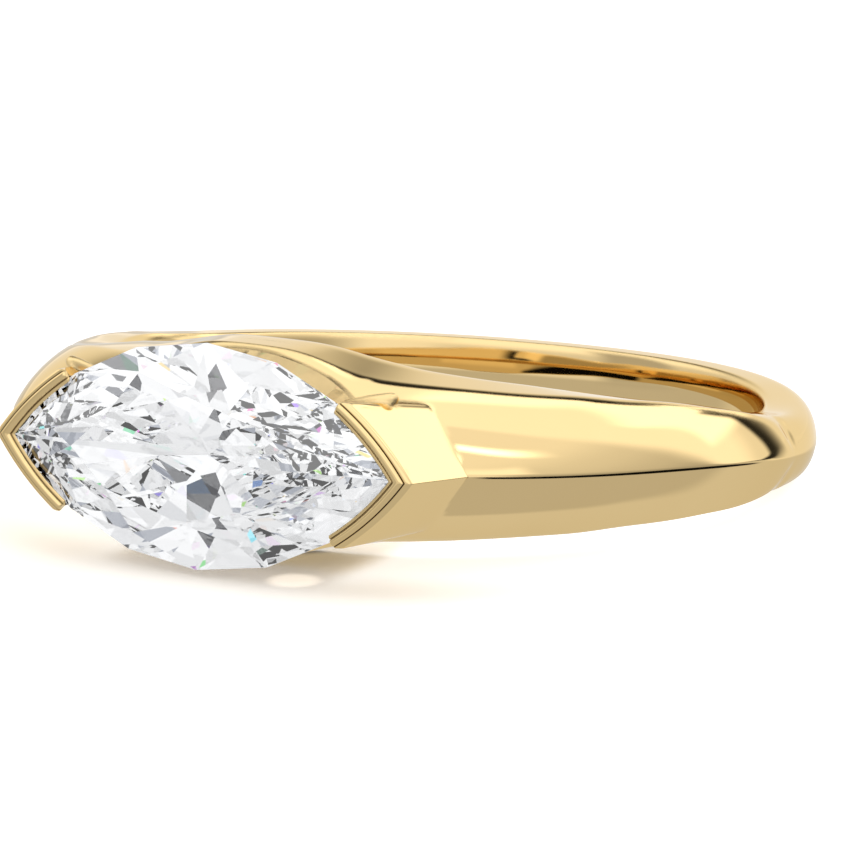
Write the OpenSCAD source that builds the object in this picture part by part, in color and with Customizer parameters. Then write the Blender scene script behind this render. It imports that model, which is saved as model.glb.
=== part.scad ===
// Marquise engagement ring, lying on its side as it rests by itself.
// Millimetres. The origin is the centre of the finger hole. The head with the stone faces -Y,
// the finger hole runs along Z, leaned back by the angle at which the ring comes to rest.

/* [Finger band] */
// Inside diameter of the finger hole
finger_d = 16.5; // [15:0.1:20]
// Width of the band at the back
back_w = 1.64; // [1.6:0.01:2]
// Width of the bridge under the middle of the stone
bridge_w = 5.08; // [4.9:0.01:5.3]

/* [Stone] */
// Length of the stone from point to point
stone_len = 10.5; // [9.6:0.1:11]
// Width of the stone across the middle
stone_w = 5.4; // [5:0.1:5.8]
// Height of the crown above the girdle
crown_h = 0.74; // [0.6:0.02:0.9]
// Thickness of the girdle
girdle_t = 0.14; // [0.08:0.01:0.2]
// Depth of the pavilion below the girdle
pavilion_h = 2.3; // [2:0.05:2.5]
// Distance of the middle of the girdle from the centre of the ring
girdle_r = 11.83; // [11.6:0.01:12.2]

/* [V caps] */
// Height of the lip above the middle of the girdle
lip_h = 0.25; // [0.2:0.01:0.35]
// Gold standing outside the stone's point at the lip
lip_out = 0.32; // [0.2:0.01:0.4]
// Gold reaching in under the girdle
seat_in = 0.3; // [0.2:0.01:0.4]
// Distance of an arm's end from the middle of the stone
arm_end_x = 3.72; // [3.4:0.01:4.1]
// How much the wall of a cap widens for each millimetre down
wall_draft = 0.176; // [0.1:0.002:0.2]

/* [Fit] */
// Gap left between the stone and the gold
gap = 0.04; // [0.03:0.005:0.08]

/* [Hidden] */
bore_r = finger_d / 2;
half_len = stone_len / 2;
half_w = stone_w / 2;
// The outline of the stone is two arcs that meet in its points
arc_r = (half_len * half_len + half_w * half_w) / (2 * half_w);
arc_c = arc_r - half_w;
// The ring lies on the inner edge of the bridge and on the outer end of the back's flat side
back_flat_r = bore_r + 0.98;
back_flat_drop = 0.02;
rest_lean = atan(((bridge_w - back_w) / 2 + back_flat_drop) / (bore_r + back_flat_r));
round_fn = 96;
far = 30;

// Columns of the band table
ANG = 0;     // angle from the middle of the head, degrees
HALF = 1;    // half width at the bore
CREASE_R = 2; // radius of the crease between side and shoulder face
CREASE_Z = 3; // half width at that crease
RIDGE_R = 4; // radius of the ridge along the middle
LEAN = 5;    // slope of the shoulder face beside the ridge, degrees
ROUND = 6;   // radius of the rounded crease
bh = bridge_w / 2;
bk = back_w / 2;
band = [
    [0, bh, 9.85, bh - 0.06, 11.9, 20, 0.12],
    [5, bh - 0.01, 9.86, bh - 0.08, 11.9, 20, 0.12],
    [9, bh - 0.05, 9.88, bh - 0.18, 11.9, 20, 0.14],
    [13, bh - 0.15, 9.9, bh - 0.36, 11.92, 20, 0.17],
    [17, bh - 0.28, 9.94, bh - 0.54, 11.94, 20, 0.22],
    [21, bh - 0.39, 9.98, bh - 0.6, 11.96, 21, 0.28],
    [25, bh - 0.5, 10, bh - 0.62, 11.94, 22, 0.33],
    [30, bh - 0.59, 9.96, bh - 0.71, 11.83, 24, 0.36],
    [36, bh - 0.69, 9.9, bh - 0.8, 11.66, 26, 0.38],
    [42, bh - 0.78, 9.84, bh - 0.9, 11.4, 27, 0.4],
    [48, bh - 0.86, 9.77, bh - 1.03, 11.11, 28, 0.43],
    [57, bh - 0.99, 9.66, bh - 1.15, 10.71, 26, 0.46],
    [68, bh - 1.16, 9.72, bh - 1.41, 10.34, 17, 0.5],
    [80, bh - 1.32, 9.78, bh - 1.67, 9.97, 6, 0.5],
    [90, bh - 1.43, 9.66, bh - 1.92, 9.77, 2, 0.56],
    [100, bk + 0.2, 9.56, bk - 0.27, 9.71, 0, 0.6],
    [120, bk + 0.13, 9.58, bk - 0.25, 9.71, 0, 0.54],
    [150, bk + 0.04, 9.6, bk - 0.32, 9.7, 0, 0.48],
    [180, bk, 9.61, bk - 0.33, 9.7, 0, 0.46]
];
rows = len(band);

// Smooth curve through one column, level at the head and at the back
function col(i, c) = band[max(0, min(rows - 1, i))][c];
function slope(i, c) = (i <= 0 || i >= rows - 1) ? 0 :
    (col(i + 1, c) - col(i - 1, c)) / (col(i + 1, ANG) - col(i - 1, ANG));
function row_of(a, i = 0) = (i >= rows - 2 || a < band[i + 1][ANG]) ? i : row_of(a, i + 1);
function hermite(t, w, a, b, sa, sb) =
    (2 * t * t * t - 3 * t * t + 1) * a + (t * t * t - 2 * t * t + t) * w * sa
    + (3 * t * t - 2 * t * t * t) * b + (t * t * t - t * t) * w * sb;
function value(a, c) =
    let (i = row_of(a), w = col(i + 1, ANG) - col(i, ANG), t = (a - col(i, ANG)) / w)
    hermite(t, w, col(i, c), col(i + 1, c), slope(i, c), slope(i + 1, c));

// Upper half of a band section as [radius, height], from the ridge to inside the finger hole
arc_steps = 6;
corner_steps = 3;
inner_r = bore_r - 0.6;
function upper(a) =
    let (
        h = value(a, HALF), cr = value(a, CREASE_R), cz = value(a, CREASE_Z),
        rr = value(a, RIDGE_R), b0 = value(a, LEAN), cc = value(a, ROUND),
        chord = atan((rr - cr) / cz),
        b1 = 2 * chord - b0,
        turn = b1 - b0,
        big = norm([rr - cr, cz]) / (2 * sin(turn / 2)),
        mid = [rr - big * cos(b0), -big * sin(b0)],
        cm = [cr - cc * cos(b1), cz - cc * sin(b1)],
        side = atan((h - cm[1] - cc) / (cm[0] - bore_r)),
        b2 = 90 - side
    )
    concat(
        [for (k = [0 : arc_steps - 1]) let (b = b0 + turn * k / arc_steps)
            mid + big * [cos(b), sin(b)]],
        [for (k = [0 : corner_steps]) let (b = b1 + (b2 - b1) * k / corner_steps)
            cm + cc * [cos(b), sin(b)]],
        [[inner_r, h + (bore_r - inner_r) * tan(side)]]
    );
// Whole section: the ridge point once, upper half, then the lower half mirrored
function section(a) =
    let (u = upper(a), n = len(u))
    concat(u, [for (k = [n - 1 : -1 : 1]) [u[k][0], -u[k][1]]]);

step_near = 2.5;
step_far = 5;
near_end = 110;
half_angles = concat([for (a = [0 : step_near : near_end]) a],
    [for (a = [near_end + step_far : step_far : 180]) a]);
angles = concat(half_angles, [for (i = [len(half_angles) - 2 : -1 : 1]) -half_angles[i]]);

module band_body() {
    n_a = len(angles);
    n_s = len(section(0));
    pts = [for (a = angles) for (p = section(abs(a))) [p[0] * sin(a), -p[0] * cos(a), p[1]]];
    tris = [for (i = [0 : n_a - 1]) for (j = [0 : n_s - 1]) for (t = [0, 1])
        let (i2 = (i + 1) % n_a, j2 = (j + 1) % n_s,
            p = i * n_s + j, q = i * n_s + j2, r = i2 * n_s + j2, s = i2 * n_s + j)
        t == 0 ? [p, q, r] : [p, r, s]];
    polyhedron(points = pts, faces = tris);
}

// Head pieces are drawn with their height along Z and then turned to face -Y
module to_head() rotate([90, 0, 0]) children();

module marquise(t) {
    intersection() {
        translate([0, -arc_c]) circle(r = arc_r + t, $fn = round_fn);
        translate([0, arc_c]) circle(r = arc_r + t, $fn = round_fn);
    }
}

lip_z = girdle_r + lip_h;
cap_z = 9.2;
cap_h = lip_z - cap_z;
// The caps' outer faces are flatter arcs than the stone's, so the arms get thinner toward their ends
outer_c = arc_c + 0.76;
outer_r = norm([half_len + lip_out, outer_c]);
arm_angle = asin(arm_end_x / arc_r);
arm_side = 1.74;

// Tapered body whose plan is two arcs about centres at y = -c and y = c
module pointed_taper(c, z0, h, r0, r1) {
    intersection() {
        translate([0, -c, z0]) cylinder(h = h, r1 = r0, r2 = r1, $fn = round_fn);
        translate([0, c, z0]) cylinder(h = h, r1 = r0, r2 = r1, $fn = round_fn);
    }
}

// Wedge in plan that holds one cap, between the ends of its two arms
module cap_wedge() {
    x0 = arc_c * tan(arm_angle);
    x1 = (arm_side + arc_c) * tan(arm_angle);
    reach = 8;
    polygon([[x0, 0], [x1, arm_side], [reach, arm_side], [reach, -arm_side], [x1, -arm_side]]);
}

module v_cap() {
    intersection() {
        pointed_taper(outer_c, cap_z, cap_h, outer_r + wall_draft * cap_h, outer_r);
        translate([0, 0, cap_z]) linear_extrude(height = cap_h) cap_wedge();
    }
}

pocket_z = 9.0;
// Room for the stone: open pocket, seat, girdle groove and the slope under the lips
module stone_room() {
    g0 = girdle_r - girdle_t / 2 - gap;
    g1 = girdle_r + girdle_t / 2 + gap;
    crown_run = 1.4;
    translate([0, 0, pocket_z]) linear_extrude(height = far) marquise(-seat_in);
    pointed_taper(arc_c, g0 - pavilion_h, pavilion_h, arc_r + gap - pavilion_h, arc_r + gap);
    translate([0, 0, g0]) linear_extrude(height = g1 - g0) marquise(gap);
    pointed_taper(arc_c, g1, 1, arc_r + gap, arc_r + gap - crown_run);
}

module gold_mount() {
    color([0.93, 0.76, 0.4])
    rotate([-rest_lean, 0, 0])
    difference() {
        union() {
            band_body();
            to_head() v_cap();
            mirror([1, 0, 0]) to_head() v_cap();
        }
        cylinder(h = far, r = bore_r, center = true, $fn = 180);
        to_head() stone_room();
    }
}

// The cut: eight kites, eight stars, sixteen upper halves, sixteen lower halves, eight mains
// and the table. Girdle points with even numbers are the feet of the kites and mains.
cuts = 8;
turns = 2 * cuts;
// Share of the half length at which the girdle points of one side stand, point to point
stations = [1, 0.87, 0.68, 0.36, 0, -0.36, -0.68, -0.87, -1];
// Size of the table as a share of the outline, along and across
table_l = 0.6;
table_w = 0.56;
// How far down the crown the stars reach, and how far up the pavilion the lower halves reach
star_drop = 0.34;
lower_rise = 0.76;
girdle_top = girdle_t / 2;
table_z = girdle_top + crown_h;
culet = [0, 0, -girdle_top - pavilion_h];

function on_arc(s, side) =
    let (x = half_len * s) [x, side * (sqrt(arc_r * arc_r - x * x) - arc_c)];
function girdle_xy(i) = let (j = (i + turns) % turns)
    j <= cuts ? on_arc(stations[j], 1) : on_arc(stations[turns - j], -1);
function girdle_pt(i, z) = let (g = girdle_xy(i)) [g[0], g[1], z];
function table_pt(k) = let (g = girdle_xy(2 * k)) [g[0] * table_l, g[1] * table_w, table_z];
// Direction of the outline at a kite's foot, straight across at the two points of the stone
function along(k) = let (j = (2 * k + turns) % turns, g = girdle_xy(j))
    j % cuts == 0 ? [0, 1, 0] :
    g[1] > 0 ? [g[1] + arc_c, -g[0], 0] : [arc_c - g[1], g[0], 0];
function kite_normal(k) = cross(along(k), table_pt(k) - girdle_pt(2 * k, girdle_top));
function main_normal(k) = cross(along(k), culet - girdle_pt(2 * k, -girdle_top));
// Point of the line in which two planes meet that lies at the height z
function meet(n1, p1, n2, p2, z) =
    let (d1 = n1 * p1 - n1[2] * z, d2 = n2 * p2 - n2[2] * z, w = n1[0] * n2[1] - n1[1] * n2[0])
    [(d1 * n2[1] - d2 * n1[1]) / w, (n1[0] * d2 - n2[0] * d1) / w, z];
star_z = table_z - crown_h * star_drop;
lower_z = culet[2] + pavilion_h * (1 - lower_rise);
star_tips = [for (k = [0 : cuts - 1])
    meet(kite_normal(k), table_pt(k), kite_normal(k + 1), table_pt(k + 1), star_z)];
lower_tips = [for (k = [0 : cuts - 1])
    meet(main_normal(k), culet, main_normal(k + 1), culet, lower_z)];

module cut_stone() {
    table_at = 0;
    star_at = table_at + cuts;
    upper_at = star_at + cuts;
    under_at = upper_at + turns;
    lower_at = under_at + turns;
    culet_at = lower_at + cuts;
    points = concat(
        [for (k = [0 : cuts - 1]) table_pt(k)],
        star_tips,
        [for (i = [0 : turns - 1]) girdle_pt(i, girdle_top)],
        [for (i = [0 : turns - 1]) girdle_pt(i, -girdle_top)],
        lower_tips,
        [culet]
    );
    faces = concat(
        [[for (k = [cuts - 1 : -1 : 0]) table_at + k]],
        [for (k = [0 : cuts - 1]) let (n = (k + 1) % cuts)
            [table_at + n, star_at + k, table_at + k]],
        [for (k = [0 : cuts - 1]) let (b = (k + cuts - 1) % cuts)
            [star_at + k, upper_at + 2 * k, star_at + b, table_at + k]],
        [for (i = [0 : turns - 1]) let (n = (i + 1) % turns)
            [upper_at + n, upper_at + i, star_at + floor(i / 2)]],
        [for (i = [0 : turns - 1]) let (n = (i + 1) % turns)
            [upper_at + n, under_at + n, under_at + i, upper_at + i]],
        [for (i = [0 : turns - 1]) let (n = (i + 1) % turns)
            [under_at + i, under_at + n, lower_at + floor(i / 2)]],
        [for (k = [0 : cuts - 1]) let (b = (k + cuts - 1) % cuts)
            [lower_at + b, under_at + 2 * k, lower_at + k, culet_at]]
    );
    polyhedron(points = points, faces = faces);
}

module marquise_stone() {
    color([0.9, 0.94, 1, 0.6])
    rotate([-rest_lean, 0, 0]) to_head() translate([0, 0, girdle_r]) cut_stone();
}

gold_mount();
marquise_stone();
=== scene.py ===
# %% [markdown]
# # A marquise engagement ring
#
# The ring is one piece of soldered yellow gold with a marquise-cut diamond between two V-shaped caps.
# It lies on its side, as a ring does when it is put down. The CAD model gives the frame. This lesson
# builds the polished surfaces over it: a band swept from a table of sections, two V caps with a bead
# along their lips, the room for the stone cut out of them, and the cut stone itself.

# %% Load the fixed frame
import bpy
import bmesh
import math
import numpy as np
from mathutils import Matrix, Vector


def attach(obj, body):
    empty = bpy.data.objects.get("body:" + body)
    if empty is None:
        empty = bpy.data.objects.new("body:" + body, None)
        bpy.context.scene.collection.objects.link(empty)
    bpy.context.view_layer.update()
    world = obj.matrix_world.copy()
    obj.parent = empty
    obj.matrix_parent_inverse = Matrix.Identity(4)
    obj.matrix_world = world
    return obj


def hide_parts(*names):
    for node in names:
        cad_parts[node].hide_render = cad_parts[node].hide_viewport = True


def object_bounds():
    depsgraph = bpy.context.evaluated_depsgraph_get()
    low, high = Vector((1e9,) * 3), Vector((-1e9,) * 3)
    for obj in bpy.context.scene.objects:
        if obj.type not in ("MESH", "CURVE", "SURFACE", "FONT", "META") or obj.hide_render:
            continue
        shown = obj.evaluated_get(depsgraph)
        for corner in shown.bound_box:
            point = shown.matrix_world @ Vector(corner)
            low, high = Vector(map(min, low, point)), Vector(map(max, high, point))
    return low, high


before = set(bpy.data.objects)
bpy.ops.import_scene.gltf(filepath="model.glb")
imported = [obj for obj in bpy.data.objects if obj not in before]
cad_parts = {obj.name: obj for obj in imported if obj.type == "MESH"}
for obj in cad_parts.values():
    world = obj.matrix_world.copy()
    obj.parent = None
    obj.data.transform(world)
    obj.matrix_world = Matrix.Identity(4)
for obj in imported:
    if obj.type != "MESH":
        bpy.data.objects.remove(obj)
cad_low, cad_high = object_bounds()
floor_z = cad_low.z
print("CAD nodes:", sorted(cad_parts), "floor at", round(floor_z * 1000, 3), "mm")

# %% [markdown]
# A goldsmith thinks in millimetres, and Blender's scene is in metres. Every size is named in
# millimetres once, and one matrix turns finished meshes into metres and leans them back by the angle
# at which the ring rests, on the inner edge of its bridge and the outer edge of its back.

# %% Driving sizes
MM = 0.001
finger_d = 16.5
bridge_w = 5.08
back_w = 1.64
stone_len = 10.5
stone_w = 5.4
girdle_r = 11.83  # from the ring's middle up to the stone's widest line
girdle_t = 0.14
crown_h = 0.74
pavilion_h = 2.3
gap = 0.04  # clearance all round the stone
bore_r = finger_d / 2
half_len = stone_len / 2
half_w = stone_w / 2
arc_r = (half_len ** 2 + half_w ** 2) / (2 * half_w)  # a marquise is two arcs of this radius
arc_c = arc_r - half_w  # whose centres lie this far to either side
back_flat_r = bore_r + 0.98
back_flat_drop = 0.02
rest_lean = math.atan(((bridge_w - back_w) / 2 + back_flat_drop) / (bore_r + back_flat_r))
to_rest = Matrix.Rotation(-rest_lean, 4, "X") @ Matrix.Scale(MM, 4)
print("resting lean:", round(math.degrees(rest_lean), 2), "degrees")

# %% [markdown]
# Everything here is a skin over rows of points: a section repeated round the ring, a profile along an
# arm, an outline at several heights. So two helpers are enough, one that joins rows of points with
# four-sided faces and one that makes a mesh object from them with its faces pointing outward.

# %% Skins over rows of points
WELD = 1e-5  # mm, closer points become one


def grid_faces(rows, cols, wrap_rows=False, wrap_cols=False):
    """Quads of a grid of points numbered row by row."""
    last_row = rows if wrap_rows else rows - 1
    last_col = cols if wrap_cols else cols - 1
    return [(i * cols + j, i * cols + (j + 1) % cols,
             ((i + 1) % rows) * cols + (j + 1) % cols, ((i + 1) % rows) * cols + j)
            for i in range(last_row) for j in range(last_col)]


def new_piece(name, points, faces):
    """A mesh object from points in the ring's own millimetres."""
    mesh = bpy.data.meshes.new(name)
    mesh.from_pydata([tuple(p) for p in points], [], faces)
    piece = bpy.data.objects.new(name, mesh)
    bpy.context.scene.collection.objects.link(piece)
    form = bmesh.new()
    form.from_mesh(mesh)
    bmesh.ops.remove_doubles(form, verts=form.verts, dist=WELD)
    bmesh.ops.recalc_face_normals(form, faces=form.faces)
    form.to_mesh(mesh)
    form.free()
    return piece


def end_faces(rows, cols):
    """Two faces that close the first and the last row of a grid."""
    return [tuple(range(cols)), tuple((rows - 1) * cols + j for j in reversed(range(cols)))]


print("a 3 by 4 grid has", len(grid_faces(3, 4)), "faces, and a tube of it", len(grid_faces(3, 4, True)))

# %% [markdown]
# The band changes its section all the way round. Beside the stone it is wide, with a sharp ridge
# between two shoulders, and at the back it is slim and half round. On the real ring a jeweller files
# this by eye between a few known sections, so a table with a row per section notes it down, and a
# file's stroke is imitated by averaging over a few degrees. A loft through few curves in the viewport
# would do too, but a table keeps each number where it can be measured and changed.

# %% The band's sections
BAND_COLUMNS = ("angle", "half", "crease_r", "crease_z", "ridge_r", "lean", "rounding", "lift")
half_bridge = bridge_w / 2
half_back = back_w / 2
BAND = np.array([
    (0, half_bridge, 9.85, half_bridge - 0.04, 11.9, 20, 0.12, 0),
    (5, half_bridge - 0.01, 9.86, half_bridge - 0.06, 11.9, 20, 0.12, 0),
    (9, half_bridge - 0.05, 9.88, half_bridge - 0.16, 11.9, 20, 0.15, 0),
    (13, half_bridge - 0.15, 9.9, half_bridge - 0.36, 11.92, 20, 0.2, 0),
    (17, half_bridge - 0.28, 9.94, half_bridge - 0.54, 11.94, 20, 0.3, 0),
    (21, half_bridge - 0.39, 9.98, half_bridge - 0.62, 11.97, 21, 0.4, 0),
    (25, half_bridge - 0.5, 10.0, half_bridge - 0.67, 11.94, 22, 0.5, 0),
    (30, half_bridge - 0.59, 9.98, half_bridge - 0.73, 11.83, 23.5, 0.56, 0),
    (36, half_bridge - 0.69, 9.94, half_bridge - 0.81, 11.66, 25, 0.6, 0),
    (42, half_bridge - 0.78, 9.89, half_bridge - 0.89, 11.42, 25, 0.62, 0),
    (48, half_bridge - 0.89, 9.84, half_bridge - 0.97, 11.15, 24.5, 0.62, 0),
    (57, half_bridge - 1.04, 9.75, half_bridge - 1.13, 10.75, 22, 0.6, 0.2),
    (66, half_bridge - 1.15, 9.66, half_bridge - 1.22, 10.4, 19, 0.58, 0.6),
    (75, half_bridge - 1.22, 9.55, half_bridge - 1.31, 10.12, 16.5, 0.58, 1),
    (81, half_bridge - 1.3, 9.53, half_bridge - 1.44, 9.98, 15, 0.6, 1),
    (85, half_bridge - 1.36, 9.56, half_bridge - 1.6, 9.9, 13, 0.63, 1),
    (88, half_bridge - 1.39, 9.6, half_bridge - 1.78, 9.85, 11, 0.66, 1),
    (90.5, half_bridge - 1.43, 9.65, half_bridge - 2.0, 9.81, 8.5, 0.69, 1),
    (92.5, half_bridge - 1.46, 9.7, half_bridge - 2.26, 9.77, 5.5, 0.71, 1),
    (93.5, half_back + 0.25, 9.73, 0.1, 9.745, 2, 0.72, 1),
    (97, half_back + 0.215, 9.72, 0.08, 9.73, 1, 0.74, 1),
    (105, half_back + 0.15, 9.71, 0.08, 9.715, 1, 0.74, 1),
    (122, half_back + 0.09, 9.7, 0.08, 9.705, 1, 0.7, 1),
    (138, half_back + 0.05, 9.7, 0.08, 9.705, 1, 0.68, 1),
    (155, half_back + 0.02, 9.7, 0.08, 9.705, 1, 0.66, 1),
    (180, half_back, 9.7, 0.08, 9.705, 1, 0.65, 1),
])
print("sections noted:", len(BAND), "from", BAND[0, 0], "to", BAND[-1, 0], "degrees")

# %% [markdown]
# Between the rows each column runs as a smooth curve. A plain spline would swing past the noted values
# and leave waves that polished gold shows at once, so the slopes are chosen so that the curve never
# overshoots. Averaging it over a few degrees then evens out the last kinks.

# %% Filing between the sections
FILE_STEP = 0.25  # degrees
FILE_REACH = 1.2  # degrees over which a stroke evens out
fine_angles = np.arange(-180, 360 + FILE_STEP, FILE_STEP)
mirrored_angles = np.abs(np.where(fine_angles > 180, 360 - fine_angles, fine_angles))


def smooth_through(angles, known, values):
    """A smooth curve through the noted values (cubic, with slopes that never overshoot)."""
    gaps = np.diff(known)
    rises = np.diff(values) / gaps
    slopes = np.zeros(len(known))
    for k in range(1, len(known) - 1):
        if rises[k - 1] * rises[k] > 0:
            slopes[k] = 2 * rises[k - 1] * rises[k] / (rises[k - 1] + rises[k])
    k = np.clip(np.searchsorted(known, angles, "right") - 1, 0, len(gaps) - 1)
    u = (angles - known[k]) / gaps[k]
    return ((2 * u ** 3 - 3 * u ** 2 + 1) * values[k] + (u ** 3 - 2 * u ** 2 + u) * gaps[k] * slopes[k]
            + (3 * u ** 2 - 2 * u ** 3) * values[k + 1] + (u ** 3 - u ** 2) * gaps[k] * slopes[k + 1])


stroke_angles = np.arange(-4 * FILE_REACH, 4 * FILE_REACH + FILE_STEP, FILE_STEP)
stroke = np.exp(-0.5 * (stroke_angles / FILE_REACH) ** 2)
stroke = stroke / stroke.sum()
filed = {}
for column, name in enumerate(BAND_COLUMNS[1:], start=1):
    noted = smooth_through(mirrored_angles, BAND[:, 0], BAND[:, column])
    filed[name] = np.convolve(noted, stroke, "same")
print("filed columns:", sorted(filed), "at", len(fine_angles), "angles")

# %% [markdown]
# The photo also shows small departures from a ring that is the same left and right: the left shoulder
# is a little leaner, the right side is a little thinner and it hangs a trace lower. They could be rows
# of their own for each side, but as trims of a quarter of a millimetre or so, each of which swells and
# fades along the band, they stay apart from the plain design and can be left out with it unharmed.

# %% Trims that make the sides differ
# Each trim: its middle and reach in degrees, then mm off the ridge and off the side.
TRIMS = [(-60.0, 28.0, 0.24, 0.19), (92.0, 42.0, 0.0, 0.1)]
CREASE_LOWERED = 0.5  # the crease goes inward by this share of what comes off the ridge
CREASE_NARROWED = 0.8  # and toward the middle by this share of it
SIDE_SAG = 0.3  # mm that the right side hangs lower
SAG_MIDDLE = 103.0  # degrees, as the two reaches
SAG_BEFORE = 26.0
SAG_BEHIND = 30.0


def band_at(angle):
    """The named values of the section at an angle in degrees from the head."""
    v = {name: float(np.interp(abs(angle), fine_angles, values)) for name, values in filed.items()}
    for middle, reach, off_ridge, off_side in TRIMS:
        away = (angle - middle) / reach
        share = (1 - away * away) ** 2 if abs(away) < 1 else 0.0
        v["ridge_r"] -= off_ridge * share
        v["crease_r"] -= CREASE_LOWERED * off_ridge * share
        v["crease_z"] -= CREASE_NARROWED * off_ridge * share
        v["half"] -= off_side * share
    return v


def sag_at(angle):
    """How much lower the band hangs at an angle."""
    away = (angle - SAG_MIDDLE) / (SAG_BEFORE if angle < SAG_MIDDLE else SAG_BEHIND)
    return SIDE_SAG * math.exp(-away * away)


for angle in (-60, 0, 60, 180):
    print("at", angle, "degrees the ridge stands at", round(band_at(angle)["ridge_r"], 2), "mm")

# %% [markdown]
# One section is walked from the ridge over the shoulder to the crease, round the corner onto the side,
# and over the edge into the bore. The shoulder is a flat arc, because a file leaves it slightly
# crowned, and this gives the long soft streak of light. The corner starts crisp at the crease and
# softens toward the side, as metal does under a buffing wheel. The bore is slightly domed, a comfort
# fit, so that it slides over the knuckle.

# %% Shoulder and corner of a section
def arc(centre, radius, start, end, steps):
    """Points (radius, height) of an arc, angles in radians from the outward direction."""
    turns = np.linspace(start, end, steps + 1)
    return [(centre[0] + radius * math.cos(t), centre[1] + radius * math.sin(t)) for t in turns]


LEAST_CROWN = 0.01  # radians by which the shoulder always turns
shoulder_steps = 14
corner_steps = 16


def shoulder_arc(start, slope, crease):
    """The crowned shoulder from the ridge's rounding to the crease, and its slope at the crease."""
    down = start[0] - crease[0]
    out = crease[1] - start[1]
    end_slope = max(slope + LEAST_CROWN, 2 * math.atan2(down, out) - slope)
    radius = math.hypot(down, out) / (2 * math.sin((end_slope - slope) / 2))
    centre = (start[0] - radius * math.cos(slope), start[1] - radius * math.sin(slope))
    return arc(centre, radius, slope, end_slope, shoulder_steps), end_slope


def soft_corner(crease, slope, rounding, lift, half):
    """The corner from the crease onto the side, as a curve pulled toward the knee of both."""
    cr, cz = crease
    top_z = cz + rounding * (1 - math.sin(slope))
    top_z += lift * (half - top_z)
    top = (cr - rounding * math.cos(slope), top_z)
    side = math.atan2(half - top_z, top[0] - bore_r)
    far = ((top[0] - cr) * math.sin(side) + (top_z - cz) * math.cos(side)) / math.cos(slope + side)
    knee = (cr - far * math.sin(slope), cz + far * math.cos(slope))
    corner = []
    for u in np.linspace(0, 1, corner_steps + 1):
        corner.append(tuple((1 - u) ** 2 * a + 2 * u * (1 - u) * m + u * u * b
                            for a, m, b in zip(crease, knee, top)))
    return corner


print("points in shoulder and corner:", shoulder_steps + corner_steps + 1)

# %% [markdown]
# The side is a straight line, the bore's edge a quarter of a circle and the bore's wall a flat curve.
# The ridge is a small arc too, because a sharp edge would vanish between two pixels, while a rounded
# one catches a thin line of light. It is rounded less where the shoulder is almost gone.

# %% One section of the band
RIDGE_ROUND = 0.19
BORE_ROUND = 0.1
BORE_RELIEF = 0.07  # how far the bore's edge stands back from its middle
KINK = math.radians(2)  # the crease breaks the surface by this much
FULL_RIDGE_Z = 0.3  # the ridge is rounded less where the shoulder is narrower than this
ridge_steps = 3
side_steps = 5
bore_steps = 6
wall_steps = 7


def bore_side(top, half):
    """From the corner's end down the side, over the bore's edge and along its wall to the middle."""
    edge_z = half - BORE_ROUND
    crown_slope = math.atan(2 * BORE_RELIEF * edge_z / half ** 2)
    edge_r = bore_r + BORE_RELIEF * (edge_z / half) ** 2 + BORE_ROUND * math.cos(crown_slope)
    edge = arc((edge_r, edge_z), BORE_ROUND, math.pi / 2, math.pi - crown_slope, bore_steps)
    side = [(top[0] + (edge[0][0] - top[0]) * k / side_steps,
             top[1] + (edge[0][1] - top[1]) * k / side_steps) for k in range(1, side_steps)]
    last = edge[-1][1]
    heights = [last * (1 - k / wall_steps) for k in range(1, wall_steps + 1)]
    wall = [(bore_r + BORE_RELIEF * (z / half) ** 2, z) for z in heights]
    return side + edge + wall


def band_outline(angle):
    """Upper half of a section from the ridge over shoulder, crease and side into the bore."""
    v = band_at(angle)
    lean = math.radians(v["lean"])
    ridge_round = RIDGE_ROUND * min(1.0, v["crease_z"] / FULL_RIDGE_Z)
    ridge_centre = (v["ridge_r"] - ridge_round / math.cos(lean), 0)
    ridge = arc(ridge_centre, ridge_round, 0, lean, ridge_steps)
    shoulder, slope = shoulder_arc(ridge[-1], lean, (v["crease_r"], v["crease_z"]))
    corner = soft_corner(shoulder[-1], slope + KINK, v["rounding"], v["lift"], v["half"])
    return ridge[:-1] + shoulder[:-1] + corner + bore_side(corner[-1], v["half"])


print("points in half a section:", len(band_outline(0)))

# %% [markdown]
# The sweep sets that section at angles round the ring and joins them into one closed skin. The steps
# are closer where the shoulder runs out, because its end is a small round petal that shows every
# missing step as a corner in the reflection.

# %% Sweep the band
ANGLE_STEPS = [(0, 80, 0.75), (80, 100, 0.5), (100, 180.01, 2.0)]  # from, to and step in degrees


def band_point(angle, r, z):
    """A point of the ring from its angle from the head, in degrees, and its place in the section."""
    a = math.radians(angle)
    return (r * math.sin(a), -r * math.cos(a), z - sag_at(angle))


def swept_band():
    """The whole band as one closed mesh."""
    one_side = [a for start, end, step in ANGLE_STEPS for a in np.arange(start, end, step)]
    angles = one_side + [-a for a in one_side[-2:0:-1]]
    points = []
    for a in angles:
        upper = band_outline(a)
        whole = upper + [(r, -z) for r, z in upper[-2:0:-1]]
        points += [band_point(a, r, z) for r, z in whole]
        count = len(whole)
    return new_piece("gold_mount", points, grid_faces(len(angles), count, True, True))


gold_mount = swept_band()
print("band faces:", len(gold_mount.data.polygons))

# %% [markdown]
# Each point of the stone is held by a V cap: two arms that follow the stone's outline and meet in a
# mitre. Its sizes are those of the lip, which reaches a little over the stone, of the bead and grooves
# along it, and of the outer wall, which leans outward down to the band.

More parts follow.
